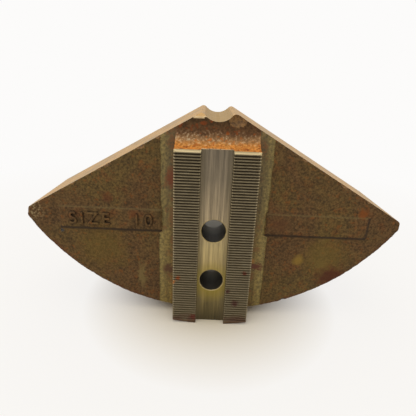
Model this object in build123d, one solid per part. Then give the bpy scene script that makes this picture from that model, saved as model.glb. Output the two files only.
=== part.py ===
from build123d import *
import os
from math import cos, radians, sin, sqrt, tan

# Full-grip ("pie") top jaw for a three-jaw power chuck: one iron casting.
# It is one third of a thick disc. The serrated rail on its back locks onto
# the chuck's master jaw, and its front face and centre arc grip the work.
# Frame: X across the jaw, +Z from the outer rim towards the chuck's axis,
# +Y out of the front face, serrations facing -Y. The origin is under the
# middle of the foot, on the surface that the jaw stands on. Millimetres.

# Sector
outer_radius = 120.65        # 9 1/2 inch full circle of three jaws
sector_angle = 120.0
flank_setback = 0.25         # each flank is cut this far inside its radial plane
plate_depth = 53.0           # cast back face to front face
centre_radius = 9.5          # the hole that three jaws leave at the centre
apex_corner_radius = 2.4
tip_cut = 2.66               # each sharp tip is cut off upright by this much
tip_corner_radius = 1.5

# Foot under the rail, as wide as the rail and turned about the chuck's axis
foot_reach = 2.2             # how far the foot stands outside the cast rim
foot_flat = 16.0             # width of the flat along its lowest line

# Serrated rail
rail_width = 42.6
rail_height = 10.5           # tooth crests above the cast back face
rail_end_radius = 21.8       # the chuck's axis to the top end of the rail
end_wall = 1.5               # straight wall above the cast cove at the rail's end
rail_root = 3.0              # the rail's foot runs this far back into the plate
tooth_pitch = 1.5
tooth_angle = 60.0
tooth_depth = 1.0
end_land = 1.6               # plain land before the first tooth
end_chamfer = 1.2            # between that land and the end wall

# Tenon groove, and the relief milled along both sides of the rail
groove_width = 16.0
groove_depth = 3.2
relief_width = 8.0
relief_depth = 0.5

# Two M12 cap screws into the chuck's T-nuts
screw_hole_diameter = 13.0
screw_spacing = 30.0
lower_screw_height = 27.0    # above the foot
head_hole_diameter = 20.0
web_under_head = 20.0        # groove floor to the seat of the screw head

# Raised label pads on the cast face, one on each side
pad_rim_margin = 11.7        # the pads' outer corners to the rim
pad_width = 12.1
pad_height = 0.9
pad_middle_radius = 63.25    # the chuck's axis to the middle line of the pads

# Worked out from the sizes above
overreach = 1.0              # how far a cutter runs past what it cuts
total_depth = plate_depth + rail_height
foot_radius = outer_radius + foot_reach
axis_height = sqrt(foot_radius**2 - (foot_flat / 2) ** 2)
crest_y = -total_depth / 2
face_y = crest_y + rail_height
front_y = total_depth / 2
groove_floor_y = crest_y + groove_depth
head_seat_y = groove_floor_y + web_under_head
end_cove_radius = rail_height - end_wall
half_angle = radians(sector_angle / 2)

# Both planes have their origin on the chuck's axis, in the cast back face.
face_plane = Plane(origin=(0, face_y, axis_height), x_dir=(1, 0, 0), z_dir=(0, -1, 0))
side_plane = Plane(origin=(0, face_y, axis_height), x_dir=(0, 0, 1), z_dir=(1, 0, 0))


def block(x_range, y_range, z_range):
    """A box given by its limits in the face plane: across, up, out of the face."""
    ranges = (x_range, y_range, z_range)
    middle = [(low + high) / 2 for low, high in ranges]
    size = [high - low for low, high in ranges]
    return face_plane * Pos(*middle) * Box(*size)


def both_sides(solid):
    """The solid and its mirror image across the jaw's middle plane."""
    return solid + mirror(solid, about=Plane.YZ)


def wedge():
    """The open sector between the two flanks, with the centre hole taken out."""
    apex_y = -flank_setback / sin(half_angle)
    reach = 2 * outer_radius
    drop = reach / tan(half_angle)
    corners = [(0, apex_y), (-reach, apex_y - drop), (reach, apex_y - drop)]
    return make_face(Polyline(*corners, close=True)) - Circle(centre_radius)


def turned_foot():
    """The circle that the foot is turned to, with the flat across the bottom of it."""
    return Circle(foot_radius) & Rectangle(2 * foot_radius, 2 * axis_height)


def plate():
    """The thick sector on its foot, with blunt tips and eased corners at the centre hole."""
    sharp_tip = sqrt(outer_radius**2 - flank_setback**2) * sin(half_angle) - flank_setback * cos(half_angle)
    width = 2 * (sharp_tip - tip_cut)
    outline = wedge() & Circle(outer_radius) & Rectangle(width, 3 * outer_radius)
    outline += turned_foot() & Pos(0, -outer_radius) * Rectangle(rail_width, outer_radius)
    by_width = outline.vertices().sort_by(Axis.X)
    outline = fillet([*by_width[:2], *by_width[-2:]], tip_corner_radius)
    by_height = outline.vertices().sort_by(Axis.Y)
    outline = fillet(by_height[-2:], apex_corner_radius)
    return extrude(face_plane * outline, amount=-plate_depth)


def tooth_line():
    """The rail's top from its foot to its end land, as points (up, out of the face)."""
    half_gap = tooth_depth * tan(radians(tooth_angle / 2))
    corner_reach = sqrt(foot_radius**2 - (rail_width / 2) ** 2)
    toothed_length = corner_reach - rail_end_radius - end_land
    count = int(toothed_length // tooth_pitch)
    first_root = -rail_end_radius - end_land - half_gap
    points = []
    for index in reversed(range(count)):
        root = first_root - index * tooth_pitch
        points += [(root - half_gap, rail_height)]
        points += [(root, rail_height - tooth_depth)]
        points += [(root + half_gap, rail_height)]
    return points


def rail():
    """The rail's side outline drawn once, teeth and end cove in it, then widened."""
    foot = -axis_height
    end = -rail_end_radius
    cove_foot = (end + end_cove_radius, 0)
    cove_top = (end, end_cove_radius)
    cove = CenterArc((end + end_cove_radius, end_cove_radius), end_cove_radius, 180, 90)
    chamfer = [(end - end_chamfer, rail_height), (end, rail_height - end_chamfer)]
    rising = Polyline((foot, -rail_root), (foot, rail_height), *tooth_line(), *chamfer, cove_top)
    closing = Polyline(cove_foot, (cove_foot[0], -rail_root), (foot, -rail_root))
    outline = make_face(rising + cove + closing)
    bar = extrude(side_plane * outline, amount=rail_width / 2, both=True)
    limits = wedge() & turned_foot()
    envelope = extrude(face_plane * limits, amount=rail_height + overreach)
    envelope += extrude(face_plane * limits, amount=-plate_depth)
    return bar & envelope


def groove():
    """The cutter for the tenon groove between the two toothed legs."""
    half = groove_width / 2
    reach = foot_radius + overreach
    return block((-half, half), (-reach, 0), (rail_height - groove_depth, rail_height + overreach))


def relief():
    """The cutter for one shallow strip beside the rail."""
    start = rail_width / 2
    reach = outer_radius + overreach
    return block((start, start + relief_width), (-reach, 0), (-relief_depth, overreach))


def label_pad():
    """The raised pad on one side; it ends where the relief strip begins."""
    start = rail_width / 2 + relief_width
    low = pad_middle_radius + pad_width / 2
    high = pad_middle_radius - pad_width / 2
    end = sqrt((outer_radius - pad_rim_margin) ** 2 - low ** 2)
    return block((start, end), (-low, -high), (0, pad_height))


def screw_passage(height):
    """The cutter for one screw: a clearance hole, and a deeper hole for its head."""
    shank = Cylinder(screw_hole_diameter / 2, total_depth + 2 * overreach, rotation=(90, 0, 0))
    head_length = front_y - head_seat_y + overreach
    head = Cylinder(head_hole_diameter / 2, head_length, rotation=(90, 0, 0))
    return Pos(0, 0, height) * shank + Pos(0, head_seat_y + head_length / 2, height) * head


def jaw():
    """Plate, relief strips, rail and pads as one casting, then the cuts through them."""
    body = plate() - both_sides(relief()) + rail() + both_sides(label_pad())
    body -= groove()
    for height in (lower_screw_height, lower_screw_height + screw_spacing):
        body -= screw_passage(height)
    return body.solids()[0]


os.makedirs("parts", exist_ok=True)
casting = jaw()
casting.label = "jaw_casting"
export_step(casting, "parts/jaw_casting.step")
box = casting.bounding_box()
print("jaw_casting", "volume", round(casting.volume), "low", box.min, "high", box.max)
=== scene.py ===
# %% [markdown]
# A full-grip chuck jaw, made in the order of the trade
# A jaw like this one starts as sand-cast iron and is then sawn, faced, milled,
# bored and drilled. One could push a single box into its final shape, but the
# crisp cuts would then look as soft as the cast skin, or the skin as flat as the
# cuts. So the casting is made first, rough all over, and every machine cut is
# taken out of it afterwards. The edges come out the way the real ones do.

# %% Load the frame
import bpy
from math import cos, hypot, pi, radians, sin, tan, tau
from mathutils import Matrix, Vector


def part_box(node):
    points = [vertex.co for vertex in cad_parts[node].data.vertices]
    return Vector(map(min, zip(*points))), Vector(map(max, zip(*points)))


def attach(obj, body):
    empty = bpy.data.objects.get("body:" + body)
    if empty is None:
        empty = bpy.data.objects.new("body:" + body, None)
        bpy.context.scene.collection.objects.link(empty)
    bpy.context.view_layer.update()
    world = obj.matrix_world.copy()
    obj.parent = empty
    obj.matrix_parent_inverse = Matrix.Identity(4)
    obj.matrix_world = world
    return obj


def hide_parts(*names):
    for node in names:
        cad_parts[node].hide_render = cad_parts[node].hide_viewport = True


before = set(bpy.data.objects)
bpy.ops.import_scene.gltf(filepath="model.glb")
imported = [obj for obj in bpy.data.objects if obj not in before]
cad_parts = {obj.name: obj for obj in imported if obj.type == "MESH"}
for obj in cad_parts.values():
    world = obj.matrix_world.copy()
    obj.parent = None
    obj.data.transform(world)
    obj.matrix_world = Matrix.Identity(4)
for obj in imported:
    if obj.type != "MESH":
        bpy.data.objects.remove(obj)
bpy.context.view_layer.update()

low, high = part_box("jaw_casting")
print("CAD box", [round(v, 4) for v in low], [round(v, 4) for v in high])

# %% [markdown]
# Sizes
# All of them are real sizes in millimetres, turned to metres by MM. The frame
# says where the tooth crests and the front face are, so every place below is
# worked out from those two planes and from the chuck's axis. Heights are
# measured from the lowest line of the cast rim, because the jaw is a sector of
# that circle. The turned foot stands a little below it, and the finished jaw is
# lifted by that much at the end. A hair is how near to a plane a point has to
# be to count as lying on it, and a tool that goes right through the jaw
# reaches that far each way.

# %% Driving sizes
MM = 0.001
rim_radius = 120.65 * MM
foot_radius = rim_radius + 2.2 * MM
foot_flat = 16 * MM
foot_depth = (foot_radius ** 2 - (foot_flat / 2) ** 2) ** 0.5 - rim_radius
half_angle = radians(60)
flank_setback = 0.25 * MM
centre_radius = 9.5 * MM
rail_width = 42.6 * MM
rail_height = 10.5 * MM
rail_end_radius = 21.8 * MM
end_wall = 1.5 * MM
rail_root = 3 * MM
tooth_pitch = 1.5 * MM
tooth_depth = 1 * MM
half_gap = tooth_depth * tan(radians(30))
end_land = 1.6 * MM
groove_width = 16 * MM
groove_depth = 3.2 * MM
relief_width = 8 * MM
relief_depth = 0.5 * MM
screw_heights = (27 * MM - foot_depth, 57 * MM - foot_depth)
screw_radius = 6.5 * MM
head_radius = 10 * MM
web_under_head = 20 * MM
pad_width = 12.1 * MM
pad_height = 0.9 * MM
pad_middle = rim_radius - 63.25 * MM
pad_end = 84 * MM
hair = 0.01 * MM
through = 50 * MM

# %% Places worked out from the frame
crest_y = low.y
front_y = high.y
face_y = crest_y + rail_height
groove_y = crest_y + groove_depth
head_seat_y = groove_y + web_under_head
rail_top = rim_radius - rail_end_radius
axis = Vector((0, 0, rim_radius))
print("cast back face at", round(face_y / MM, 2), "mm, rail top at", round(rail_top / MM, 2), "mm, foot at",
      round(-foot_depth / MM, 2), "mm")

# %% [markdown]
# Bench helpers
# Every operator in Blender acts on what is selected, and the loaded frame is
# still selected. These helpers put one object alone on the bench first.

# %% Put one object on the bench
def alone(obj):
    bpy.ops.object.select_all(action="DESELECT")
    obj.select_set(True)
    bpy.context.view_layer.objects.active = obj
    return obj


def named(name):
    """The new primitive, named, with its turn and place put into its mesh."""
    obj = alone(bpy.context.object)
    obj.name = name
    bpy.ops.object.transform_apply()
    return obj


def block(name, lowest, highest):
    bpy.ops.object.select_all(action="DESELECT")
    middle = [(a + b) / 2 for a, b in zip(lowest, highest)]
    size = [b - a for a, b in zip(lowest, highest)]
    bpy.ops.mesh.primitive_cube_add(size=1, location=middle, scale=size)
    return named(name)


def rod(name, radius, start, end, sides=96, end_radius=None):
    """A cylinder along Y, or a cone where the far radius differs."""
    bpy.ops.object.select_all(action="DESELECT")
    middle = (Vector(start) + Vector(end)) / 2
    length = (Vector(end) - Vector(start)).length
    far = radius if end_radius is None else end_radius
    bpy.ops.mesh.primitive_cone_add(vertices=sides, radius1=radius, radius2=far, depth=length,
                                    location=middle, rotation=(-pi / 2, 0, 0))
    return named(name)


# %% Edit-mode helpers
def pick(obj, kind, test):
    """Go into edit mode with only the parts selected whose list of corner points passes the test."""
    alone(obj)
    bpy.ops.object.mode_set(mode="EDIT")
    bpy.ops.mesh.select_mode(type=kind)
    bpy.ops.mesh.select_all(action="DESELECT")
    bpy.ops.object.mode_set(mode="OBJECT")
    mesh = obj.data
    group = {"VERT": mesh.vertices, "EDGE": mesh.edges, "FACE": mesh.polygons}[kind]
    count = 0
    for part in group:
        corners = [part.co] if kind == "VERT" else [mesh.vertices[i].co for i in part.vertices]
        part.select = test(corners)
        count += part.select
    bpy.ops.object.mode_set(mode="EDIT")
    return count


def done():
    bpy.ops.object.mode_set(mode="OBJECT")


def slice_off(obj, point, normal):
    """Saw along a plane, throw away the side that the normal points to, and close the cut."""
    pick(obj, "FACE", lambda corners: True)
    bpy.ops.mesh.bisect(plane_co=point, plane_no=normal, use_fill=True, clear_outer=True,
                        threshold=hair / 10)
    done()


def group(obj, test):
    """Put the points that pass the test into a new vertex group, and give its name."""
    pick(obj, "VERT", test)
    bpy.ops.object.vertex_group_add()
    bpy.ops.object.vertex_group_assign()
    done()
    return obj.vertex_groups[0].name


def with_modifier(obj, kind, **settings):
    alone(obj)
    modifier = obj.modifiers.new(kind.title(), kind)
    for name, value in settings.items():
        setattr(modifier, name, value)
    bpy.ops.object.modifier_apply(modifier=modifier.name)


def roughen(obj, name, size, strength, contrast=1, **settings):
    """Push a mesh in and out by lumps of this size in millimetres."""
    lumps = bpy.data.textures.new(name, "CLOUDS")
    lumps.noise_scale = size * MM
    lumps.contrast = contrast
    with_modifier(obj, "DISPLACE", texture=lumps, texture_coords="LOCAL", strength=strength * MM,
                  **settings)


def combine(body, tool, operation):
    """Join or cut with a closed tool, then put the tool away."""
    with_modifier(body, "BOOLEAN", operation=operation, object=tool, solver="MANIFOLD")
    bpy.data.objects.remove(tool)
    print(operation.lower(), "->", len(body.data.polygons), "faces")


# %% [markdown]
# The rough casting
# The foundry pours a sector a little larger than the finished jaw where it will
# be sawn and faced. It has the hollow that runs up to the rail's end, the two
# label pads and the foot already on it, and the foot is left long enough to be
# turned. The parts are laid into each other and remeshed as one skin of even
# squares, which also rounds every corner a little, as sand does.

# %% Flank planes
def flank_plane(side, allowance):
    """A point on one flank's plane and its outward normal; side is -1 or 1."""
    normal = Vector((side * cos(half_angle), 0, sin(half_angle)))
    return axis + normal * (allowance - flank_setback), normal


def turned(name, radius, y_from, y_to, sides=96):
    """A cylinder about the chuck's axis."""
    return rod(name, radius, axis + Vector((0, y_from, 0)), axis + Vector((0, y_to, 0)), sides)


def sector(name, radius, y_from, y_to, allowance, sides):
    obj = turned(name, radius, y_from, y_to, sides)
    for side in (-1, 1):
        slice_off(obj, *flank_plane(side, allowance))
    return obj


# %% Plate as cast
rim_slack = 0.3 * MM
saw_allowance = 2 * MM
facing_allowance = 1 * MM
rim_rounding = 0.7 * MM
cast_front = front_y + facing_allowance
casting = sector("jaw_body", rim_radius - rim_slack, face_y, cast_front, saw_allowance, 360)


def on_near_rim(corners):
    return all(abs(co.y - face_y) < hair and hypot(co.x, co.z - rim_radius) > rim_radius - 2 * rim_slack
               for co in corners)


print("rim edges eased:", pick(casting, "EDGE", on_near_rim))
bpy.ops.mesh.bevel(offset=rim_rounding, segments=3, affect="EDGES")
done()

# %% Foot as cast
foot = turned("foot", foot_radius + MM, face_y, cast_front)
for point, normal in (((-rail_width / 2, 0, 0), (-1, 0, 0)), ((rail_width / 2, 0, 0), (1, 0, 0)),
                      ((0, 0, 10 * MM), (0, 0, 1))):
    slice_off(foot, point, normal)

# %% Hollow at the rail's end
cove_radius = rail_height - end_wall
cove = block("cove", (-rail_width / 2 - MM, crest_y + end_wall, rail_top - 0.4 * MM),
             (rail_width / 2 + MM, face_y + 4 * MM, rail_top + cove_radius))
hollow = rod("hollow", cove_radius, (0, -through, 0), (0, through, 0))
alone(hollow)
bpy.ops.transform.rotate(value=pi / 2, orient_axis="Z", center_override=(0, 0, 0))
bpy.ops.transform.translate(value=(0, face_y - cove_radius, rail_top + cove_radius))
bpy.ops.object.transform_apply()
combine(cove, hollow, "DIFFERENCE")

# %% Label pads
pads = []
for side in (-1, 1):
    inner = rail_width / 2 + relief_width - MM
    ends = sorted((side * inner, side * pad_end))
    pad = block("pad", (ends[0], face_y - pad_height, pad_middle - pad_width / 2),
                (ends[1], face_y + 2 * MM, pad_middle + pad_width / 2))
    pick(pad, "EDGE", lambda corners: True)
    bpy.ops.mesh.bevel(offset=0.2 * MM, segments=1, affect="EDGES")
    done()
    pads.append(pad)

# %% One skin
voxel = 0.68 * MM
alone(casting)
for piece in (cove, foot, *pads):
    piece.select_set(True)
bpy.ops.object.join()
with_modifier(casting, "REMESH", mode="VOXEL", voxel_size=voxel, use_smooth_shade=True)
with_modifier(casting, "SMOOTH", factor=0.5, iterations=2)
print("cast skin:", len(casting.data.polygons), "faces")

# %% [markdown]
# Sand texture
# Two sizes of unevenness make the cast skin. The mould wall wanders by a few
# tenths of a millimetre over the width of a finger, and the sand leaves
# grains about as wide as a grain of sugar. Both are pushed into the mesh,
# so that they show at the outline and along each cut. Finer grit is left to
# the material.

# %% Push the skin in and out
for name, size, strength in (("mould_wander", 16, 0.5), ("sand_lumps", 2.6, 0.34), ("sand_grain", 1.3, 0.2)):
    roughen(casting, name, size, strength)

# %% [markdown]
# Sawing, facing and boring
# The finished outline is a clean sector with ground tips and a bored centre.
# Keeping only what lies inside it does the saw's, the lathe's and the boring
# bar's work in one cut. It is as large as the turned foot, so the foot comes out
# clean and the rim keeps its cast skin.

# %% The finished outline
outline = sector("outline", foot_radius, crest_y - 2 * MM, front_y, 0, 720)
slice_off(outline, (0, 0, -foot_depth), (0, 0, -1))
bore = turned("bore", centre_radius, crest_y - 3 * MM, front_y + MM)
combine(outline, bore, "DIFFERENCE")

# %% Ease the corners between bore and flanks
easing = 2.47 * MM
for side in (-1, 1):
    flank_normal = flank_plane(side, 0)[1]
    along = Vector((side * sin(half_angle), 0, -cos(half_angle)))
    inside = easing + flank_setback
    along_length = ((centre_radius + easing) ** 2 - inside ** 2) ** 0.5
    middle = axis + along * along_length - flank_normal * inside
    reach = 2 * easing
    bpy.ops.object.select_all(action="DESELECT")
    bpy.ops.mesh.primitive_cube_add(size=1, location=middle + (flank_normal - along) * reach / 2,
                                    scale=(reach, 80 * MM, reach), rotation=(0, -side * half_angle, 0))
    corner = named("corner")
    ball = rod("ball", easing, middle - Vector((0, through, 0)), middle + Vector((0, through, 0)))
    combine(corner, ball, "DIFFERENCE")
    combine(outline, corner, "DIFFERENCE")

# %% Blunt tips
tip_reach = high.x - 5 * hair
for side in (-1, 1):
    slice_off(outline, (side * tip_reach, 0, 0), (side, 0, 0))
tip_rounding = 1.4 * MM


def along_tip(corners):
    return (all(abs(co.x) > tip_reach - hair for co in corners)
            and abs(corners[0].y - corners[1].y) > 10 * MM)


print("tip edges eased:", pick(outline, "EDGE", along_tip))
bpy.ops.mesh.bevel(offset=tip_rounding, segments=4, affect="EDGES")
done()
combine(casting, outline, "INTERSECT")

# %% [markdown]
# Milling beside the rail
# A cutter runs along both sides of the rail and just grazes the cast face, so
# the strip it leaves is bright, flat and a little below the skin, with an edge
# that wavers where the skin does.

# %% Relief strips
for side in (-1, 1):
    ends = sorted((side * rail_width / 2, side * (rail_width / 2 + relief_width)))
    cutter = block("relief", (ends[0], crest_y - 3 * MM, -MM), (ends[1], face_y + relief_depth, rim_radius))
    pick(cutter, "EDGE", lambda corners: abs(corners[0].z - corners[1].z) > 0.1)
    bpy.ops.mesh.subdivide(number_cuts=160)
    done()
    for bottom, top, push in ((-5, 50, 0.8), (50, 64.5, -1), (64.5, 130, -0.3)):
        pick(cutter, "VERT", lambda corners: abs(corners[0].x) > rail_width / 2 + MM
             and bottom * MM < corners[0].z <= top * MM)
        bpy.ops.transform.translate(value=(side * push * MM, 0, 0))
        done()
    outer = group(cutter, lambda corners: abs(corners[0].x) > rail_width / 2 + MM)
    roughen(cutter, "edge_waver", 5, 1.3, direction="X", vertex_group=outer)
    combine(casting, cutter, "DIFFERENCE")

# %% [markdown]
# The toothed rail
# Sixty-odd equal teeth are best modelled as one slice of the rail with a single
# vee in it, repeated. The slice has no top or bottom face, so the copies
# merge into one skin. It has columns across its width, which lets the crests
# wear unevenly.

# %% One slice with one vee
crest_flat = tooth_pitch - 2 * half_gap
corner_reach = (foot_radius ** 2 - (rail_width / 2) ** 2) ** 0.5
tooth_count = int((corner_reach - rail_end_radius - end_land) // tooth_pitch)
land = end_land - crest_flat / 2
foot_land = rail_top - land - tooth_count * tooth_pitch
rail = block("rail", (-rail_width / 2, crest_y, foot_land),
             (rail_width / 2, face_y + rail_root, foot_land + tooth_pitch))
side_break = 0.35 * MM
pick(rail, "EDGE", lambda corners: all(co.y < crest_y + hair for co in corners)
     and abs(corners[0].x - corners[1].x) < hair)
bpy.ops.mesh.bevel(offset=side_break, segments=1, affect="EDGES")
done()
root_z = foot_land + tooth_pitch / 2
for height in (root_z - half_gap, root_z, root_z + half_gap):
    pick(rail, "FACE", lambda corners: True)
    bpy.ops.mesh.bisect(plane_co=(0, 0, height), plane_no=(0, 0, 1))
    done()
columns = 32
pick(rail, "EDGE", lambda corners: abs(corners[0].x - corners[1].x) > rail_width / 2)
bpy.ops.mesh.subdivide(number_cuts=columns - 1)
done()
for level in (0, side_break):
    pick(rail, "VERT", lambda corners: abs(corners[0].z - root_z) < hair
         and abs(corners[0].y - crest_y - level) < hair)
    bpy.ops.transform.translate(value=(0, tooth_depth - level, 0))
    done()
ends = (foot_land, foot_land + tooth_pitch)
pick(rail, "FACE", lambda corners: any(all(abs(co.z - end) < hair for co in corners) for end in ends))
bpy.ops.mesh.delete(type="FACE")
done()

# %% All the teeth
with_modifier(rail, "ARRAY", count=tooth_count, use_relative_offset=False, use_constant_offset=True,
              constant_offset_displace=(0, 0, tooth_pitch), use_merge_vertices=True,
              merge_threshold=2 * hair)
for level, goal in ((foot_land, -foot_depth - MM), (foot_land + tooth_count * tooth_pitch, rail_top)):
    pick(rail, "EDGE", lambda corners: all(abs(co.z - level) < 0.05 * MM for co in corners))
    bpy.ops.mesh.extrude_edges_move(TRANSFORM_OT_translate={"value": (0, 0, goal - level)})
    bpy.ops.mesh.edge_face_add()
    done()
top_break = 1.15 * MM
pick(rail, "EDGE", lambda corners: all(abs(co.z - rail_top) < hair and co.y < crest_y + hair
                                       for co in corners))
bpy.ops.mesh.bevel(offset=top_break, segments=1, affect="EDGES")
bpy.ops.mesh.select_all(action="SELECT")
bpy.ops.mesh.normals_make_consistent(inside=False)
done()
print(tooth_count, "teeth,", len(rail.data.polygons), "faces")

# %% Turn the rail's foot
round_bar = turned("round_bar", foot_radius, -through, through, 720)
slice_off(round_bar, (0, 0, -foot_depth), (0, 0, -1))
combine(rail, round_bar, "INTERSECT")

# %% Wear on the crests
crests = group(rail, lambda corners: corners[0].y < crest_y + hair)
roughen(rail, "crest_wear", 3, 0.2, contrast=1.6, direction="Y", mid_level=-0.12, vertex_group=crests)
combine(casting, rail, "UNION")

# %% [markdown]
# The groove and the holes
# The tenon groove is milled from the foot to the end hollow with a cutter whose
# corners are a little round. Each screw passage is a drill, a larger drill for
# the head from the other side, and a countersink that breaks each sharp edge.

# %% Tenon groove
groove = block("groove", (-groove_width / 2, crest_y - MM, -foot_depth - MM),
               (groove_width / 2, groove_y, rim_radius - centre_radius))
pick(groove, "EDGE", lambda corners: all(co.y > groove_y - hair for co in corners)
     and abs(corners[0].x - corners[1].x) < hair)
bpy.ops.mesh.bevel(offset=0.5 * MM, segments=3, affect="EDGES")
done()
combine(casting, groove, "DIFFERENCE")
burr = 0.3 * MM
for side in (-1, 1):
    burr_break = block("burr_break", (-burr, -burr, -foot_depth - MM), (burr, burr, rail_top + MM))
    bpy.ops.transform.rotate(value=pi / 4, orient_axis="Z", center_override=(0, 0, 0))
    bpy.ops.transform.translate(value=(side * groove_width / 2, crest_y, 0))
    bpy.ops.object.transform_apply()
    combine(casting, burr_break, "DIFFERENCE")

# %% Screw passages
shank_break = 0.45 * MM
head_break = 0.8 * MM
for height in screw_heights:
    steps = (
        (screw_radius, crest_y - MM, head_seat_y + MM, screw_radius),
        (screw_radius + 2 * shank_break, groove_y - shank_break, groove_y + shank_break, screw_radius),
        (head_radius, head_seat_y, front_y + MM, head_radius),
        (head_radius, front_y - head_break, front_y + head_break, head_radius + 2 * head_break))
    for radius, y_from, y_to, far_radius in steps:
        drill = rod("drill", radius, (0, y_from, height), (0, y_to, height), end_radius=far_radius)
        combine(casting, drill, "DIFFERENCE")

# %% [markdown]
# Knocks
# A jaw that has been lifted on and off a machine has lost bits of its corners.
# Each loss is taken out with a lumpy ball, because cast iron breaks in small
# shell-like bites and never along a plane.

# %% Chipped corners and edges, a rim nick and a blow hole
bites = [
    ("left_corner", (-9.6, -23.5, 122.6), 10, (1.3, 0.75, 1)),
    ("right_corner", (9.6, -24.6, 112.8), 5.4, (1, 1, 0.9)),
    ("left_tip", (-103.2, -23, 61.5), 3.2, (1, 1, 1.6)),
    ("right_tip", (103.4, -23, 60.5), 2.6, (1, 1, 1.2)),
    ("rim_nick", (43.8, -22.4, 7.6), 2.2, (1, 1.2, 1)),
    ("blow_hole", (-83.8, -21.5, 48.9), 0.9, (1, 1, 1))]
for side, distance, radius in ((-1, 35, 1.5), (-1, 46, 2.1), (-1, 66, 1.7), (-1, 71, 1.3), (-1, 88, 1.2),
                               (1, 53, 1.5), (1, 79, 1.9), (1, 96, 1.4)):
    edge = axis / MM + Vector((side * sin(half_angle), 0, -cos(half_angle))) * distance
    outward = Vector((side * cos(half_angle), -1, sin(half_angle))) * 0.34 * radius
    spot = edge + outward + Vector((0, face_y / MM, 0))
    bites.append(("edge_chip", tuple(spot), radius, (1.4, 1, 1.1)))
for name, place, radius, stretch in bites:
    bpy.ops.object.select_all(action="DESELECT")
    bpy.ops.mesh.primitive_ico_sphere_add(subdivisions=5, radius=radius * MM, location=Vector(place) * MM,
                                          scale=stretch)
    bite = named(name)
    roughen(bite, "bruise", 3, 0.06 * radius)
    combine(casting, bite, "DIFFERENCE")

# %% [markdown]
# The cast size figures
# The pattern maker's label gives the chuck's size in inches, in raised figures
# on the left pad. The figures are soft, because sand fills no sharp corner, so
# the text is remeshed and smoothed before it joins the casting.

# %% Raised label
letter_rise = 0.8 * MM
cap_share = 0.69


def raised(words, start, cap_height, lift):
    bpy.ops.object.select_all(action="DESELECT")
    bpy.ops.object.text_add(location=(start, face_y - pad_height - lift / 2, pad_middle - cap_height / 2),
                            rotation=(pi / 2, 0, 0))
    label = bpy.context.object
    label.data.body = words
    label.data.size = cap_height / cap_share
    label.data.space_character = 1.3
    label.data.extrude = lift / 2 + 0.3 * MM
    label.data.offset = 0.12 * MM
    bpy.ops.object.convert(target="MESH")
    label = named("label")
    with_modifier(label, "REMESH", mode="VOXEL", voxel_size=0.24 * MM)
    with_modifier(label, "SMOOTH", factor=0.5, iterations=2)
    print(words, "from", round(start / MM, 1), "is", round(label.dimensions.x / MM, 1), "mm long")
    return label


for words, start in (("SIZE", -79 * MM), ("10", -44.5 * MM)):
    combine(casting, raised(words, start, 6.8 * MM, letter_rise), "UNION")

# %% Smooth shading that keeps the machined edges
alone(casting)
bpy.ops.object.shade_smooth_by_angle(angle=radians(50))
with_modifier(casting, "WEIGHTED_NORMAL", keep_sharp=True, weight=100)
print("finished jaw:", len(casting.data.polygons), "faces")

# %% [markdown]
# How the finishes are made
# A material is a small graph of nodes. Two helpers are enough: one turns a
# written colour into the linear light that the renderer works in, and one adds
# a node with its settings and its links. Every pattern is measured in
# millimetres of real iron, through the object's own coordinates.

# %% Colour and node helpers
def colour(code):
    """A written sRGB colour as linear RGBA."""
    parts = [int(code[i:i + 2], 16) / 255 for i in (1, 3, 5)]
    return (*[v / 12.92 if v <= 0.04045 else ((v + 0.055) / 1.055) ** 2.4 for v in parts], 1)


def per(size):
    """How often a pattern as large as this many millimetres repeats in a metre."""
    return 1 / (size * MM)


def add(tree, kind, inputs=None, out=0, **settings):
    """Add a node; an input that is another node's output is linked. Gives one of its outputs."""
    new = tree.nodes.new("ShaderNode" + kind)
    for name, value in settings.items():
        setattr(new, name, value)
    for key, value in (inputs or {}).items():
        if isinstance(value, bpy.types.NodeSocket):
            tree.links.new(value, new.inputs[key])
        else:
            new.inputs[key].default_value = value
    return new.outputs[out] if new.outputs else None


def finish_named(name, parts=""):
    """A new material, its empty graph, the place measured from the rim, and the parts of it asked for."""
    material = bpy.data.materials.new(name)
    material.use_nodes = True
    tree = material.node_tree
    tree.nodes.clear()
    standing = add(tree, "TexCoord", out=3)
    place = add(tree, "Mapping", {0: standing, 1: (0, 0, -foot_depth)})
    asked = [add(tree, "SeparateXYZ", {0: place}, out="xyz".index(part)) for part in parts]
    return material, tree, place, *asked


# %% A stain at a known place, and a line along one
def stain(tree, place, centre, radius, raggedness=0.35, size=3, stretch=(1, 1, 1)):
    """A mask that is 1 inside a ragged blot of this radius in millimetres and fades over its edge."""
    wander = add(tree, "TexNoise", {"Vector": place, "Scale": per(size), "Detail": 3}, out=1)
    shift = add(tree, "VectorMath", {0: wander, 1: (0.5, 0.5, 0.5)}, operation="SUBTRACT")
    moved = add(tree, "VectorMath", {0: shift, 1: (radius * raggedness * 2 * MM,) * 3, 2: place},
                operation="MULTIPLY_ADD")
    offset = add(tree, "VectorMath", {0: moved, 1: Vector(centre) * MM}, operation="SUBTRACT")
    squeezed = add(tree, "VectorMath", {0: offset, 1: stretch}, operation="MULTIPLY")
    distance = add(tree, "VectorMath", {0: squeezed}, operation="LENGTH", out=1)
    return add(tree, "MapRange", {0: distance, 1: 1.25 * radius * MM, 2: 0.5 * radius * MM})


def line(tree, along, level, width, core, strength):
    """A mask along the line where a coordinate has this value, fading out over the width."""
    gap = add(tree, "Math", {0: along, 1: level}, operation="SUBTRACT")
    gap = add(tree, "Math", {0: gap}, operation="ABSOLUTE")
    return add(tree, "MapRange", {0: gap, 1: width * MM, 2: core * MM, 4: strength})


# %% [markdown]
# Sand-cast skin
# Grey iron that was cast in sand and oiled for years is brown, not grey: a skin
# of oxide and old oil, olive where the oil is thick and red where it wore off.
# It is not metallic to the eye. Four sizes of pattern are laid over each other,
# from hand-wide patches down to grains under a millimetre.

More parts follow.
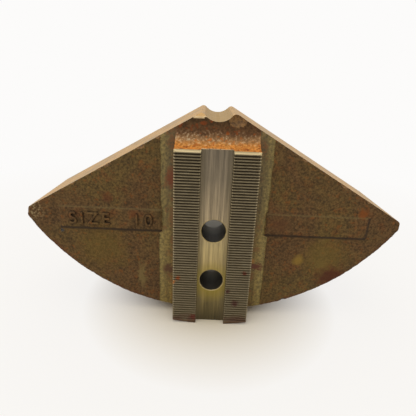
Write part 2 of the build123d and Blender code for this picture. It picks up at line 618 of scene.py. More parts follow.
# %% Skin colours
skin, tree, place, x, y, z = finish_named("sand_cast_iron_skin", "xyz")
patches = add(tree, "TexNoise", {"Vector": place, "Scale": per(34), "Detail": 3, "Distortion": 0.4})
blotches = add(tree, "TexNoise", {"Vector": place, "Scale": per(7), "Detail": 4, "Roughness": 0.6})
specks = add(tree, "TexNoise", {"Vector": place, "Scale": per(1.2), "Detail": 3, "Roughness": 0.7})
oil = add(tree, "MapRange", {0: patches, 1: 0.42, 2: 0.62})
base = add(tree, "Mix", {0: oil, 6: colour("#584127"), 7: colour("#5a4725")}, out=2, data_type="RGBA")
redder = add(tree, "MapRange", {0: blotches, 1: 0.54, 2: 0.74, 4: 0.55})
base = add(tree, "Mix", {0: redder, 6: base, 7: colour("#663a1c")}, out=2, data_type="RGBA")
darker = add(tree, "MapRange", {0: blotches, 1: 0.5, 2: 0.32, 4: 0.45})
base = add(tree, "Mix", {0: darker, 6: base, 7: colour("#3e2f1d")}, out=2, data_type="RGBA")
grain = add(tree, "MapRange", {0: specks, 1: 0.32, 2: 0.68, 3: 0.45, 4: 1.65})
base = add(tree, "VectorMath", {0: base, 1: grain}, operation="MULTIPLY")
flecks = add(tree, "TexNoise", {"Vector": place, "Scale": per(1.9), "Detail": 2, "W": 5},
             noise_dimensions="4D")
rust_flecks = add(tree, "MapRange", {0: flecks, 1: 0.6, 2: 0.68, 4: 0.55})
base = add(tree, "Mix", {0: rust_flecks, 6: base, 7: colour("#7a4a20")}, out=2, data_type="RGBA")

# %% Skin stains and bare spots
stains = (
    ((49.1, -21.2, 36.1), 3.2, "#8c7030", 0.7, 1),
    ((63.4, -21.2, 33.0), 4.0, "#6e5a30", 0.5, 1),
    ((-40.3, -21.2, 22.0), 8.0, "#7d6c42", 0.6, 3.2),
    ((81.0, -22.0, 66.0), 3.0, "#7a4218", 0.8, 1),
    ((-58.0, -22.0, 69.5), 3.4, "#5c2a16", 0.5, 1),
    ((-44.0, -22.0, 60.5), 2.6, "#6e3c1c", 0.5, 1),
    ((36.0, -22.0, 58.0), 6.0, "#5e3820", 0.4, 1),
    ((64.0, -21.2, 39.0), 13.0, "#6c5826", 0.5, 1),
    ((-62.0, -21.2, 40.0), 14.0, "#66521f", 0.4, 1),
    ((70.0, -21.2, 25.5), 7.5, "#4c2414", 0.85, 0.8))
for centre, radius, tint, depth, slimness in stains:
    mask = stain(tree, place, centre, radius, raggedness=0.6, stretch=(slimness, 1, 1))
    weight = add(tree, "Math", {0: mask, 1: depth}, operation="MULTIPLY")
    base = add(tree, "Mix", {0: weight, 6: base, 7: colour(tint)}, out=2, data_type="RGBA")

# %% Specks rubbed bare on the left tip
tip_area = stain(tree, place, (-98.5, -21.5, 61.0), 6.5, raggedness=0.3)
bare = add(tree, "MapRange", {0: specks, 1: 0.5, 2: 0.66, 4: 0.6})
bare = add(tree, "Math", {0: bare, 1: tip_area}, operation="MULTIPLY")
base = add(tree, "Mix", {0: bare, 6: base, 7: colour("#a89a74")}, out=2, data_type="RGBA")

# %% Painted shade in every corner of the skin, with dirt
# Ambient occlusion darkens the colour in corners and crevices, round the letters and the pads: painted
# shade, partly standing for dirt gathered there.
occlusion_shade = add(tree, "AmbientOcclusion", {"Distance": 1.6 * MM}, out=1, samples=8)
shade_and_dirt = add(tree, "MapRange", {0: occlusion_shade, 1: 0.86, 2: 0.5, 4: 0.8})
base = add(tree, "Mix", {0: shade_and_dirt, 6: base, 7: colour("#1f1710")}, out=2, data_type="RGBA")

# %% Painted shadow under the pads and a painted highlight above them
sideways = add(tree, "Math", {0: x}, operation="ABSOLUTE")
wobble = add(tree, "Math", {0: specks, 1: 0.8 * MM, 2: z}, operation="MULTIPLY_ADD")
within = add(tree, "Math", {0: sideways, 1: pad_end + 0.6 * MM}, operation="LESS_THAN")
on_face = add(tree, "Math", {0: y, 1: face_y + 1.2 * MM}, operation="LESS_THAN")
within = add(tree, "Math", {0: within, 1: on_face}, operation="MULTIPLY")
# Along each pad's lower edge a dark line is painted as the pad's shadow, with some dirt; along its upper
# edge a paler line is painted as a highlight.
for level, width, tint, depth in ((pad_middle - pad_width / 2 + 0.1 * MM, 1.2, "#281f18", 0.8),
                                  (pad_middle + pad_width / 2 + 0.4 * MM, 0.5, "#6a5a34", 0.4)):
    painted_edge_line = line(tree, wobble, level, width, 0.35 * width, depth)
    painted_edge_line = add(tree, "Math", {0: painted_edge_line, 1: within}, operation="MULTIPLY")
    base = add(tree, "Mix", {0: painted_edge_line, 6: base, 7: colour(tint)}, out=2, data_type="RGBA")
# A dark line just past the right pad's outer end is painted shade beside the step.
shade_past_pad_end = line(tree, x, pad_end + 0.5 * MM, 1.0, 0.4, 0.7)
off_middle = add(tree, "Math", {0: z, 1: pad_middle}, operation="SUBTRACT")
off_middle = add(tree, "Math", {0: off_middle}, operation="ABSOLUTE")
beside_pad = add(tree, "Math", {0: off_middle, 1: pad_width / 2}, operation="LESS_THAN")
shade_past_pad_end = add(tree, "Math", {0: shade_past_pad_end, 1: beside_pad}, operation="MULTIPLY")
base = add(tree, "Mix", {0: shade_past_pad_end, 6: base, 7: colour("#281f18")}, out=2, data_type="RGBA")

# %% Rust creeping in from the rim
from_axis = add(tree, "VectorMath", {0: place, 1: (0, 0, rim_radius)}, operation="SUBTRACT")
flat = add(tree, "VectorMath", {0: from_axis, 1: (1, 0, 1)}, operation="MULTIPLY")
reach = add(tree, "VectorMath", {0: flat}, operation="LENGTH", out=1)
creep = add(tree, "Math", {0: blotches, 1: 12 * MM, 2: reach}, operation="MULTIPLY_ADD")
rimward = add(tree, "MapRange", {0: creep, 1: rim_radius + 3.5 * MM, 2: rim_radius + 6 * MM, 4: 0.8})
base = add(tree, "Mix", {0: rimward, 6: base, 7: colour("#5a3820")}, out=2, data_type="RGBA")

# %% Skin surface
pitting = add(tree, "TexNoise", {"Vector": place, "Scale": per(0.8), "Detail": 2})
relief = add(tree, "Bump", {"Strength": 0.8, "Distance": 0.12 * MM, "Height": pitting})
dullness = add(tree, "MapRange", {0: patches, 1: 0.35, 2: 0.65, 3: 0.78, 4: 0.62})
shader = add(tree, "BsdfPrincipled", {"Base Color": base, "Roughness": dullness, "Normal": relief,
                                      "Specular IOR Level": 0.2})
add(tree, "OutputMaterial", {"Surface": shader})

# %% [markdown]
# Rusted hollow
# The hollow at the rail's end is cast too, but it faces up and holds water. It
# goes from dark oxide under the apex, through a belt of pale and orange
# flecks, to a solid orange bloom along the rail's edge. The orange is rust, but
# its lightness growing towards the lower part, which faces up into the light, is
# partly painted light.

# %% Hollow colours follow the height
hollow_rust, tree, place, x, y, z = finish_named("rusted_hollow", "xyz")
ragged = add(tree, "TexNoise", {"Vector": place, "Scale": per(4), "Detail": 4})
height = add(tree, "Math", {0: ragged, 1: 5 * MM, 2: z}, operation="MULTIPLY_ADD")
climb = add(tree, "MapRange", {0: height, 1: rail_top + 1.5 * MM, 2: rail_top + 15 * MM})
# The ramp runs from bright orange at the bottom to dark brown at the top: rust colours, made lighter where
# the hollow faces up, which is partly painted light.
belt = add(tree, "ValToRGB", {0: climb})
bands = tree.nodes[-1].color_ramp
bands.elements[0].color = colour("#c2742a")
bands.elements[1].color = colour("#48351f")
for position, tint in ((0.2, "#c07f3a"), (0.36, "#98724a"), (0.56, "#62452c")):
    bands.elements.new(position).color = colour(tint)
flecks = add(tree, "TexNoise", {"Vector": place, "Scale": per(1.2), "Detail": 2, "Roughness": 0.6})
in_belt = add(tree, "MapRange", {0: climb, 1: 0.68, 2: 0.42})
above_edge = add(tree, "MapRange", {0: climb, 1: 0.14, 2: 0.26})
in_belt = add(tree, "Math", {0: in_belt, 1: above_edge}, operation="MULTIPLY")
mottle = add(tree, "MapRange", {0: flecks, 1: 0.3, 2: 0.7, 3: 0.6, 4: 1.4})
belt = add(tree, "VectorMath", {0: belt, 1: mottle}, operation="MULTIPLY")
pale = add(tree, "MapRange", {0: flecks, 1: 0.56, 2: 0.66, 4: 0.65})
pale = add(tree, "Math", {0: pale, 1: in_belt}, operation="MULTIPLY")
base = add(tree, "Mix", {0: pale, 6: belt, 7: colour("#b9a888")}, out=2, data_type="RGBA")
bloom = add(tree, "TexNoise", {"Vector": place, "Scale": per(2.3), "Detail": 2, "W": 3},
            noise_dimensions="4D")
orange = add(tree, "MapRange", {0: bloom, 1: 0.56, 2: 0.64, 4: 0.75})
low_orange = add(tree, "Mix", {0: in_belt, 6: colour("#7a3c18"), 7: colour("#b8641e")}, out=2,
                 data_type="RGBA")
base = add(tree, "Mix", {0: orange, 6: base, 7: low_orange}, out=2, data_type="RGBA")

# %% The groove's lip: rubbed bare, and a painted highlight where it faces up
middle = add(tree, "Math", {0: x}, operation="ABSOLUTE")
middle = add(tree, "Math", {0: middle, 1: groove_width / 2}, operation="LESS_THAN")
lip_wear_and_highlight = add(tree, "MapRange", {0: y, 1: groove_y + 0.9 * MM, 2: groove_y + 0.5 * MM, 4: 0.85})
lip_wear_and_highlight = add(tree, "Math", {0: lip_wear_and_highlight, 1: middle}, operation="MULTIPLY")
base = add(tree, "Mix", {0: lip_wear_and_highlight, 6: base, 7: colour("#cdb78c")}, out=2, data_type="RGBA")
crust = add(tree, "Bump", {"Strength": 0.9, "Distance": 0.25 * MM, "Height": flecks})
shader = add(tree, "BsdfPrincipled", {"Base Color": base, "Roughness": 0.85, "Normal": crust,
                                      "Specular IOR Level": 0.2})
add(tree, "OutputMaterial", {"Surface": shader})

# %% [markdown]
# Milled strips beside the rail
# A pass of the cutter along the rail leaves bare iron, since gone olive with
# dried oil. It streaks along the cut and collects rust next to the rail.

# %% Strip colours
strip, tree, place, x, z = finish_named("oiled_milled_strip", "xz")
along = add(tree, "Mapping", {0: place, 3: (1, 1, 0.06)})
streaks = add(tree, "TexNoise", {"Vector": along, "Scale": per(2.2), "Detail": 4, "Roughness": 0.65})
film = add(tree, "TexNoise", {"Vector": place, "Scale": per(18), "Detail": 3})
base = add(tree, "Mix", {0: film, 6: colour("#5e4e30"), 7: colour("#6c5b30")}, out=2, data_type="RGBA")
lower = add(tree, "MapRange", {0: z, 1: 72 * MM, 2: 45 * MM, 4: 0.7})
base = add(tree, "Mix", {0: lower, 6: base, 7: colour("#78622a")}, out=2, data_type="RGBA")
shade = add(tree, "MapRange", {0: streaks, 1: 0.3, 2: 0.7, 3: 0.6, 4: 1.4})
base = add(tree, "VectorMath", {0: base, 1: shade}, operation="MULTIPLY")
grit = add(tree, "TexNoise", {"Vector": place, "Scale": per(1.6), "Detail": 3, "Roughness": 0.7})
rust = add(tree, "TexNoise", {"Vector": place, "Scale": per(6), "Detail": 5, "Roughness": 0.65})
beside = add(tree, "Math", {0: x}, operation="ABSOLUTE")
outward = add(tree, "Math", {0: streaks, 1: 4 * MM, 2: beside}, operation="MULTIPLY_ADD")
rail_side = rail_width / 2
outward = add(tree, "MapRange", {0: outward, 1: rail_side + 5 * MM, 2: rail_side + 9.5 * MM, 4: 0.8})
base = add(tree, "Mix", {0: outward, 6: base, 7: colour("#85733f")}, out=2, data_type="RGBA")
shade = add(tree, "MapRange", {0: grit, 1: 0.34, 2: 0.66, 3: 0.5, 4: 1.5})
base = add(tree, "VectorMath", {0: base, 1: shade}, operation="MULTIPLY")
beside = add(tree, "MapRange", {0: beside, 1: rail_side + relief_width, 2: rail_side, 4: 0.16})
rusty = add(tree, "Math", {0: rust, 1: beside}, operation="ADD")
rusty = add(tree, "MapRange", {0: rusty, 1: 0.6, 2: 0.7, 4: 0.7})
patchy = add(tree, "MapRange", {0: grit, 1: 0.42, 2: 0.55, 3: 0.15, 4: 1})
rusty = add(tree, "Math", {0: rusty, 1: patchy}, operation="MULTIPLY")
base = add(tree, "Mix", {0: rusty, 6: base, 7: colour("#6e3e18")}, out=2, data_type="RGBA")
rust_spots = (
    ((-23.6, -20.75, 81), 3, "#6e3814", 0.6), ((25.5, -20.75, 30.4), 4.4, "#5a2c10", 1.7),
    ((-24.5, -20.75, 27), 3.6, "#553414", 1), ((23, -20.75, 34), 1.6, "#94662a", 1))
for centre, radius, tint, flatness in rust_spots:
    mask = stain(tree, place, centre, radius, raggedness=0.8, size=1.6, stretch=(1, 1, flatness))
    base = add(tree, "Mix", {0: mask, 6: base, 7: colour(tint)}, out=2, data_type="RGBA")
ridges = add(tree, "Bump", {"Strength": 0.4, "Distance": 0.05 * MM, "Height": streaks})
shader = add(tree, "BsdfPrincipled", {"Base Color": base, "Roughness": 0.42, "Metallic": 0.35,
                                      "Normal": ridges})
add(tree, "OutputMaterial", {"Surface": shader})

# %% [markdown]
# Bright edges: wear and painted highlight
# Where the cutter left a wall, the iron is rubbed bare again and again, and the
# pale colour is also a painted highlight where these edges catch the light from
# above. It is the palest line on the face.

# %% Border colours
worn_edge_and_highlight, tree, place, z = finish_named("rubbed_edge_and_painted_highlight", "z")
rubbed = add(tree, "TexNoise", {"Vector": place, "Scale": per(3), "Detail": 3})
base = add(tree, "Mix", {0: rubbed, 6: colour("#8e7a48"), 7: colour("#c0ab76")}, out=2, data_type="RGBA")
# From a little below the rail's top upwards the colour is paler still: a painted highlight, chiefly on the
# top land, which faces up into the light.
top_land_highlight = add(tree, "MapRange", {0: z, 1: rail_top - 4 * MM, 2: rail_top - 2 * MM})
base = add(tree, "Mix", {0: top_land_highlight, 6: base, 7: colour("#b8a477")}, out=2, data_type="RGBA")
shader = add(tree, "BsdfPrincipled", {"Base Color": base, "Roughness": 0.4, "Metallic": 0.4})
add(tree, "OutputMaterial", {"Surface": shader})

# %% [markdown]
# Toothed iron
# The serrations are cut with a form cutter. Their roots are coloured darker than
# the crests, and the crests are rubbed to plain grey iron. The height of a point
# between root and crest is its Y coordinate, so the colour can follow it.

# %% Tooth colours
teeth, tree, place, x, y, z = finish_named("serrated_milled_iron", "xyz")
depth = add(tree, "MapRange", {0: y, 1: crest_y + 0.05 * MM, 2: crest_y + 0.75 * tooth_depth})
wear_marks = add(tree, "TexNoise", {"Vector": place, "Scale": per(5), "Detail": 4})
crest = add(tree, "Mix", {0: wear_marks, 6: colour("#6b5f48"), 7: colour("#988a6a")}, out=2,
            data_type="RGBA")
base = add(tree, "Mix", {0: depth, 6: crest, 7: colour("#4c4232")}, out=2, data_type="RGBA")
sideways = add(tree, "Math", {0: x}, operation="ABSOLUTE")
outer = add(tree, "MapRange", {0: sideways, 1: rail_width / 2 - 0.9 * MM, 2: rail_width / 2 - 0.35 * MM})
inner = add(tree, "MapRange", {0: sideways, 1: groove_width / 2 + 0.6 * MM, 2: groove_width / 2 + 0.1 * MM})
rubbed = add(tree, "Math", {0: outer, 1: inner}, operation="MAXIMUM")
near_crest = add(tree, "MapRange", {0: y, 1: crest_y + 0.9 * MM, 2: crest_y + 0.4 * MM, 4: 0.8})
rubbed = add(tree, "Math", {0: rubbed, 1: near_crest}, operation="MULTIPLY")
base = add(tree, "Mix", {0: rubbed, 6: base, 7: colour("#a59572")}, out=2, data_type="RGBA")
oily = add(tree, "MapRange", {0: z, 1: 70 * MM, 2: 5 * MM, 4: 0.5})
base = add(tree, "Mix", {0: oily, 6: base, 7: colour("#5a4d30")}, out=2, data_type="RGBA")
low_end = add(tree, "Math", {0: wear_marks, 1: -16 * MM, 2: z}, operation="MULTIPLY_ADD")
low_end = add(tree, "MapRange", {0: low_end, 1: -4 * MM, 2: -8.5 * MM, 4: 0.8})
base = add(tree, "Mix", {0: low_end, 6: base, 7: colour("#4e3120")}, out=2, data_type="RGBA")
rust_spots = (
    (-18.5, 27.5, 1.4, "#8a4518"), (-21, 25, 1.2, "#a8682a"), (18, 32, 1.3, "#5e2c18"),
    (-9.5, 2, 2, "#5e2a16"), (14, 12, 2.2, "#4a2a1c"), (9.5, 20, 1.4, "#4a2a1c"))
for beside, height, radius, tint in rust_spots:
    mask = stain(tree, place, (beside, crest_y / MM, height), radius, raggedness=0.8, size=1.2)
    base = add(tree, "Mix", {0: mask, 6: base, 7: colour(tint)}, out=2, data_type="RGBA")
shader = add(tree, "BsdfPrincipled", {"Base Color": base, "Roughness": 0.45, "Metallic": 0.5})
add(tree, "OutputMaterial", {"Surface": shader})

# %% [markdown]
# Milled groove floor
# The tenon groove is milled lengthwise, so its marks run up and down. It is
# darker towards its side walls than in the middle, and oily round
# the lower hole.

# %% Groove colours
groove_floor, tree, place, x, z = finish_named("milled_groove_floor", "xz")
along = add(tree, "Mapping", {0: place, 3: (1, 1, 0.03)})
streaks = add(tree, "TexNoise", {"Vector": along, "Scale": per(1.3), "Detail": 5, "Roughness": 0.7})
climb = add(tree, "MapRange", {0: z, 1: 0, 2: rail_top})
bright = add(tree, "ValToRGB", {0: climb})
bands = tree.nodes[-1].color_ramp
bands.elements[0].color = colour("#4e442a")
bands.elements[1].color = colour("#6e6250")
for position, tint in ((0.1, "#6a5c36"), (0.28, "#988352"), (0.45, "#b09c6c"), (0.65, "#a08e70"),
                       (0.85, "#7c6f5a")):
    bands.elements.new(position).color = colour(tint)
shade = add(tree, "MapRange", {0: streaks, 1: 0.32, 2: 0.68, 3: 0.5, 4: 1.5})
base = add(tree, "VectorMath", {0: bright, 1: shade}, operation="MULTIPLY")
sideways = add(tree, "Math", {0: x}, operation="ABSOLUTE")
edge = add(tree, "MapRange", {0: sideways, 1: 4.5 * MM, 2: 7.8 * MM, 4: 0.65})
base = add(tree, "Mix", {0: edge, 6: base, 7: colour("#675b40")}, out=2, data_type="RGBA")
halo = stain(tree, place, (0, groove_y / MM, 24), 11, raggedness=0.15)
halo = add(tree, "Math", {0: halo, 1: 0.8}, operation="MULTIPLY")
base = add(tree, "Mix", {0: halo, 6: base, 7: colour("#8c7a24")}, out=2, data_type="RGBA")
marks = add(tree, "Bump", {"Strength": 0.35, "Distance": 0.03 * MM, "Height": streaks})
shader = add(tree, "BsdfPrincipled", {"Base Color": base, "Roughness": 0.45, "Metallic": 0.5,
                                      "Normal": marks})
add(tree, "OutputMaterial", {"Surface": shader})

# %% [markdown]
# Machined flanks and bored centre
# The two flanks are ground after sawing and the centre is bored. Both face
# upwards and are dry, so they are the brightest iron of all, with a thin tan
# bloom over fine marks that run through the thickness.

# %% Flank colours
flank, tree, place, y = finish_named("ground_flank", "y")
across = add(tree, "Mapping", {0: place, 3: (1, 0.05, 1)})
streaks = add(tree, "TexNoise", {"Vector": across, "Scale": per(0.7), "Detail": 2})
bloom = add(tree, "TexNoise", {"Vector": place, "Scale": per(14), "Detail": 5, "Roughness": 0.6})
base = add(tree, "Mix", {0: bloom, 6: colour("#b38b52"), 7: colour("#cfa566")}, out=2, data_type="RGBA")
shade = add(tree, "MapRange", {0: streaks, 1: 0.3, 2: 0.7, 3: 0.9, 4: 1.08})
base = add(tree, "VectorMath", {0: base, 1: shade}, operation="MULTIPLY")
grit = add(tree, "TexNoise", {"Vector": place, "Scale": per(1.4), "Detail": 4, "Roughness": 0.7})
shade = add(tree, "MapRange", {0: grit, 1: 0.3, 2: 0.7, 3: 0.78, 4: 1.18})
base = add(tree, "VectorMath", {0: base, 1: shade}, operation="MULTIPLY")
bare = add(tree, "MapRange", {0: bloom, 1: 0.5, 2: 0.38, 4: 0.55})
base = add(tree, "Mix", {0: bare, 6: base, 7: colour("#9c8662")}, out=2, data_type="RGBA")
orange = add(tree, "MapRange", {0: bloom, 1: 0.58, 2: 0.7, 4: 0.5})
base = add(tree, "Mix", {0: orange, 6: base, 7: colour("#b9803f")}, out=2, data_type="RGBA")
marks = add(tree, "Bump", {"Strength": 0.3, "Distance": 0.03 * MM, "Height": streaks})
# Along the edge next to the cast face the flank is paler: partly rubbed wear, partly a painted highlight
# where the edge's rounding catches the light.
rubbed = add(tree, "Math", {0: streaks, 1: 1.2 * MM, 2: y}, operation="MULTIPLY_ADD")
rubbed = add(tree, "MapRange", {0: rubbed, 1: face_y + 1.5 * MM, 2: face_y + 0.7 * MM, 4: 0.7})
base = add(tree, "Mix", {0: rubbed, 6: base, 7: colour("#dcc59c")}, out=2, data_type="RGBA")
shader = add(tree, "BsdfPrincipled", {"Base Color": base, "Roughness": 0.55, "Metallic": 0.25,
                                      "Normal": marks})
add(tree, "OutputMaterial", {"Surface": shader})

# %% [markdown]
# Bored centre
# The arc at the centre is bored with all three jaws on the chuck. It is a
# darker, greyer tan than the flanks, ringed by the boring tool.

# %% Bore colours
bored, tree, place = finish_named("bored_centre")
along = add(tree, "Mapping", {0: place, 3: (0.15, 1, 0.15)})
rings = add(tree, "TexNoise", {"Vector": along, "Scale": per(1.1), "Detail": 4, "Roughness": 0.65})
base = add(tree, "Mix", {0: rings, 6: colour("#8a6f42"), 7: colour("#c4a268")}, out=2, data_type="RGBA")
marks = add(tree, "Bump", {"Strength": 0.3, "Distance": 0.03 * MM, "Height": rings})
shader = add(tree, "BsdfPrincipled", {"Base Color": base, "Roughness": 0.6, "Metallic": 0.1,
                                      "Normal": marks, "Specular IOR Level": 0.3})
add(tree, "OutputMaterial", {"Surface": shader})

# %% [markdown]
# Old breaks
# Where a corner has broken off, the grainy inside of the iron shows. It has
# rusted to a warm brown since.

# %% Break colours
broken, tree, place = finish_named("weathered_break")
grains = add(tree, "TexNoise", {"Vector": place, "Scale": per(1.6), "Detail": 4, "Roughness": 0.7})
tone = add(tree, "MapRange", {0: grains, 1: 0.35, 2: 0.65})
base = add(tree, "Mix", {0: tone, 6: colour("#45311e"), 7: colour("#8a6538")}, out=2, data_type="RGBA")
crust = add(tree, "Bump", {"Strength": 0.8, "Distance": 0.2 * MM, "Height": grains})
shader = add(tree, "BsdfPrincipled", {"Base Color": base, "Roughness": 0.7, "Normal": crust,
                                      "Specular IOR Level": 0.3})
add(tree, "OutputMaterial", {"Surface": shader})

# %% [markdown]
# Faced gripping side
# The side that meets the work is turned on the lathe, in rings about the
# chuck's axis. The rings are 0.8 mm apart.

# %% Front colours
faced, tree, place = finish_named("turned_gripping_face")
centred = add(tree, "Mapping", {0: place, 1: (0, 0, -rim_radius)})
rings = add(tree, "TexWave", {"Vector": centred, "Scale": per(0.8) * tau / 20}, out=1,
            wave_type="RINGS", rings_direction="Y")
bloom = add(tree, "TexNoise", {"Vector": place, "Scale": per(20), "Detail": 5, "Roughness": 0.6})
base = add(tree, "Mix", {0: bloom, 6: colour("#84786a"), 7: colour("#a08f78")}, out=2, data_type="RGBA")
shade = add(tree, "MapRange", {0: rings, 3: 0.93, 4: 1.05})
base = add(tree, "VectorMath", {0: base, 1: shade}, operation="MULTIPLY")
film = add(tree, "MapRange", {0: bloom, 1: 0.52, 2: 0.7, 4: 0.75})
base = add(tree, "Mix", {0: film, 6: base, 7: colour("#7b5433")}, out=2, data_type="RGBA")
marks = add(tree, "Bump", {"Strength": 0.3, "Distance": 0.01 * MM, "Height": rings})
shader = add(tree, "BsdfPrincipled", {"Base Color": base, "Roughness": 0.38, "Metallic": 0.75,
                                      "Normal": marks})
add(tree, "OutputMaterial", {"Surface": shader})

# %% [markdown]
# Drilled holes
# The walls of the screw holes are painted dark near the mouth, which is painted shade
# with a mottle of oil and cutting dust, and pale deeper in, which is painted light.

# %% Hole colours
drilled, tree, place, y = finish_named("drilled_wall_with_painted_shade_and_light", "y")
shade_and_dirt = add(tree, "TexNoise", {"Vector": place, "Scale": per(3), "Detail": 3})
base = add(tree, "Mix", {0: shade_and_dirt, 6: colour("#2c2822"), 7: colour("#48423a")}, out=2, data_type="RGBA")
# Deeper in, the wall is painted pale: light that comes in through the counterbore from the open front.
painted_light_deep = add(tree, "MapRange", {0: y, 1: groove_y + 9 * MM, 2: head_seat_y + 6 * MM, 4: 0.9})
base = add(tree, "Mix", {0: painted_light_deep, 6: base, 7: colour("#a0967c")}, out=2, data_type="RGBA")
shader = add(tree, "BsdfPrincipled", {"Base Color": base, "Roughness": 0.4, "Metallic": 0.2})
add(tree, "OutputMaterial", {"Surface": shader})

# %% [markdown]
# Which face gets which finish
# The cuts are known by where they are and which way they face, so each face of
# the mesh can be sorted by its middle and its normal. The first test that fits
# wins, and the rest stays cast skin.

# %% Sort the faces
def finish_of(spot, normal):
    beside = abs(spot.x)
    on_rail = beside < rail_width / 2 + hair
    flank_normal = flank_plane(1 if spot.x > 0 else -1, 0)[1]
    from_bore = hypot(spot.x, spot.z - rim_radius)
    for height in screw_heights:
        from_hole = hypot(spot.x, spot.z - height)
        on_countersink = screw_radius + 2 * hair < from_hole < screw_radius + 1.1 * shank_break
        if on_countersink and spot.y < groove_y + 2 * shank_break:
            return worn_edge_and_highlight
        if from_hole < head_radius + 2 * head_break and groove_y + 5 * hair < spot.y < front_y - hair:
            return drilled
    if spot.y > front_y - 2 * hair and normal.y > 0.9:
        return faced
    if (spot - axis).dot(flank_normal) > -flank_setback - 5 * hair and normal.dot(flank_normal) > 0.95:
        return flank
    if from_bore < centre_radius + 2 * hair and abs(normal.y) < 0.2:
        return bored
    for name, place, radius, stretch in bites:
        from_middle = spot - Vector(place) * MM
        inside = Vector(a / b for a, b in zip(from_middle, stretch))
        if inside.length < 1.04 * radius * MM and normal.dot(from_middle) < 0:
            # The blow hole and the rim nick take the dark drilled-wall colour, which paints shade into these
            # small hollows.
            return {"left_corner": flank, "blow_hole": drilled, "rim_nick": drilled}.get(name, broken)
    if from_bore < centre_radius + 3 * MM and abs(normal.y) < 0.3 and normal.z > 0.3:
        return flank
    in_groove = beside < groove_width / 2 + hair and spot.z < rail_top + 10 * hair
    if in_groove and spot.y < groove_y + 0.6 * MM and abs(normal.x) < 0.8:
        return groove_floor
    # The rail's top chamfer and its upper side edges face up and take the bright edge finish, which is
    # partly a painted highlight.
    if on_rail and spot.z > rail_top - 1.02 * top_break and spot.y < crest_y + 1.05 * top_break:
        return worn_edge_and_highlight
    if on_rail and spot.z > rail_top - top_break and normal.z > 0.5:
        return hollow_rust
    near_top = spot.z > rail_top - 1.3 * top_break and spot.y < crest_y + top_break
    if near_top and beside > rail_width / 2 - 1.1 * side_break:
        return worn_edge_and_highlight
    if on_rail and spot.z < rail_top + hair and spot.y < face_y + relief_depth:
        return teeth
    if on_rail and spot.z > rail_top and spot.y < face_y + 0.6 * MM:
        return hollow_rust
    if beside < rail_width / 2 + relief_width + 2 * MM and spot.y < face_y + relief_depth + hair:
        if abs(normal.x) > 0.6:
            return worn_edge_and_highlight
        if spot.y > face_y + relief_depth - hair:
            return strip
    return skin


finishes = (skin, hollow_rust, strip, worn_edge_and_highlight, teeth, groove_floor, flank, bored, broken, faced, drilled)
casting.data.materials.clear()
for material in finishes:
    casting.data.materials.append(material)
count = {material.name: 0 for material in finishes}
for polygon in casting.data.polygons:
    chosen = finish_of(polygon.center, polygon.normal)
    polygon.material_index = finishes.index(chosen)
    count[chosen.name] += 1
print(count)

# %% Stand the jaw on its foot
alone(casting)
bpy.ops.transform.translate(value=(0, 0, foot_depth))
bpy.ops.object.transform_apply()

# %% Tell the frame about the piece
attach(casting, "root")
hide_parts("jaw_casting")

# %% [markdown]
# A place to stand
# The jaw stands on a sheet of white board that curves up behind it. A sheet
# like that has no line between floor and wall. It is one long plane whose
# far side is pulled up, with a wide bevel in the corner.

# %% White board
bpy.ops.object.select_all(action="DESELECT")
bpy.ops.mesh.primitive_plane_add(size=3, location=(0, 0, -0.05 * MM))
board = named("white_board")
pick(board, "EDGE", lambda corners: all(co.y > 1 for co in corners))
bpy.ops.mesh.extrude_edges_move(TRANSFORM_OT_translate={"value": (0, 0, 1.6)})
done()
pick(board, "EDGE", lambda corners: all(co.y > 1 and co.z < 0.1 for co in corners))
bpy.ops.mesh.bevel(offset=0.7, segments=24, affect="EDGES")
done()
alone(board)
bpy.ops.object.shade_smooth()
paper, tree, place = finish_named("white_board_paper")
sheet = add(tree, "BsdfPrincipled", {"Base Color": colour("#e4d7bd"), "Roughness": 0.8,
                                     "Specular IOR Level": 0.2})
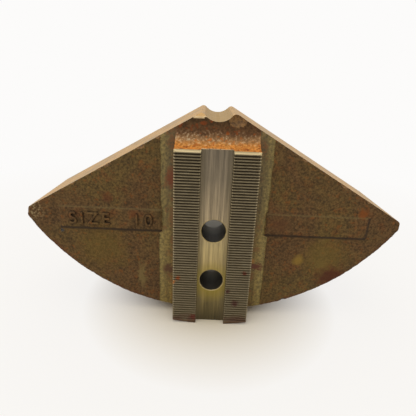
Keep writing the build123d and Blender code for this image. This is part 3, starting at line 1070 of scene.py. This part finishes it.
# Seen by the camera or in reflections the board glows white, little near the jaw's foot and more further
# out: painted light that washes out the jaw's shadow away from its foot.
away = add(tree, "VectorMath", {0: place}, operation="LENGTH", out=1)
near = add(tree, "MapRange", {0: away, 1: 0.03, 2: 0.08, 4: 0.86})
far = add(tree, "MapRange", {0: away, 1: 0.08, 2: 0.4, 4: 0.14})
clear = add(tree, "Math", {0: near, 1: far}, operation="ADD")
glow = add(tree, "Emission", {"Color": colour("#fcfbfa"), "Strength": 1.0})
path = add(tree, "LightPath", out=0)
mirrored = add(tree, "LightPath", out=3)
seen = add(tree, "Math", {0: path, 1: mirrored}, operation="MAXIMUM")
seen = add(tree, "Math", {0: seen, 1: clear}, operation="MULTIPLY")
both = add(tree, "MixShader", {0: seen, 1: sheet, 2: glow})
add(tree, "OutputMaterial", {"Surface": both})
board.data.materials.append(paper)

# %% [markdown]
# Light and camera
# One large soft lamp hangs above and a little in front, to the left, and the
# white surroundings do the rest.

# %% Surroundings
world = bpy.data.worlds.new("studio")
bpy.context.scene.world = world
world.use_nodes = True
tree = world.node_tree
tree.nodes.clear()
ambient = add(tree, "Background", {"Color": colour("#fefefe"), "Strength": 0.68})
white = add(tree, "Background", {"Color": colour("#fcfbfa"), "Strength": 1.0})
path = add(tree, "LightPath", out=0)
mirrored = add(tree, "LightPath", out=3)
seen = add(tree, "Math", {0: path, 1: mirrored}, operation="MAXIMUM")
both = add(tree, "MixShader", {0: seen, 1: ambient, 2: white})
add(tree, "OutputWorld", {"Surface": both})

# %% Lamps
for name, spot, size, power in (("overhead", (-0.2, -0.2, 1.2), 1.3, 6),
                                ("window", (-0.6, -1.0, 0.7), 0.8, 1.5)):
    lamp = bpy.data.lights.new(name, "AREA")
    lamp.size = size
    lamp.energy = power
    holder = bpy.data.objects.new(name, lamp)
    bpy.context.collection.objects.link(holder)
    holder.location = spot
    holder.rotation_euler = (Vector((0, 0, 0.05)) - Vector(spot)).to_track_quat("-Z", "Y").to_euler()

# %% Camera
lens = bpy.data.cameras.new("camera")
lens.lens = 29.975
lens.sensor_width = 36
camera = bpy.data.objects.new("camera", lens)
bpy.context.collection.objects.link(camera)
camera.location = (-0.004417, -0.196171, 0.131787 + foot_depth)
camera.rotation_euler = (radians(69.2514), radians(-2.3332), radians(0.5798))
bpy.context.scene.camera = camera
bpy.context.scene.view_settings.view_transform = "Standard"
